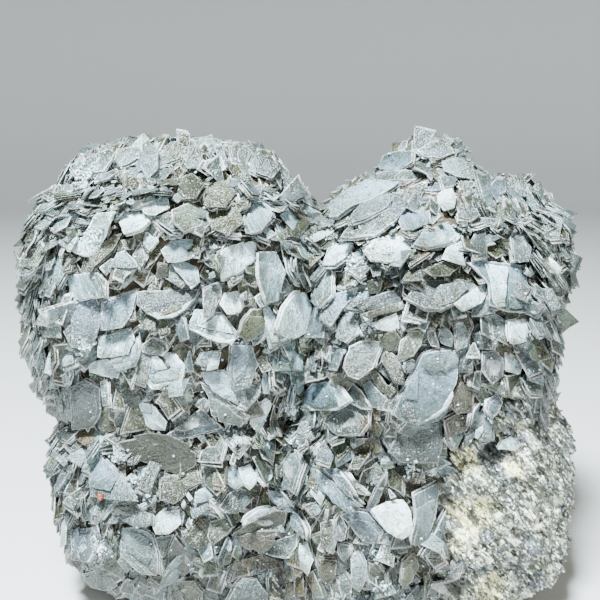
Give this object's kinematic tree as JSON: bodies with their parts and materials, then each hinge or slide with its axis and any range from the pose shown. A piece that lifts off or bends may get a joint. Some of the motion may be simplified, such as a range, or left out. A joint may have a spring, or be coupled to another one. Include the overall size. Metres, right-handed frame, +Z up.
{
  "type": "calcite on quartz specimen",
  "caption": "Mineral specimen: two rounded mounds crusted with thin overlapping calcite blades on granular quartz rock, resting on a flat cut base.",
  "frame": {"origin": "in the flat cut that the rock rests on, near its middle", "axes": "+Z up from the cut, +X to the right of the crusted front, which faces -Y"},
  "size_m": [0.1089, 0.0623, 0.0858],
  "materials": {
    "quartz": "coarse granular quartz, mottled cream, pale yellow, white and blue-grey, with dark specks",
    "calcite": "translucent grey-white blades with bright rims, satin faces and sugary white growth"
  },
  "bodies": {
    "root": {"quartz_matrix": "quartz", "calcite_crust": "calcite", "lone_blade_right": "calcite", "lone_blade_low": "calcite"}
  },
  "joints": []
}
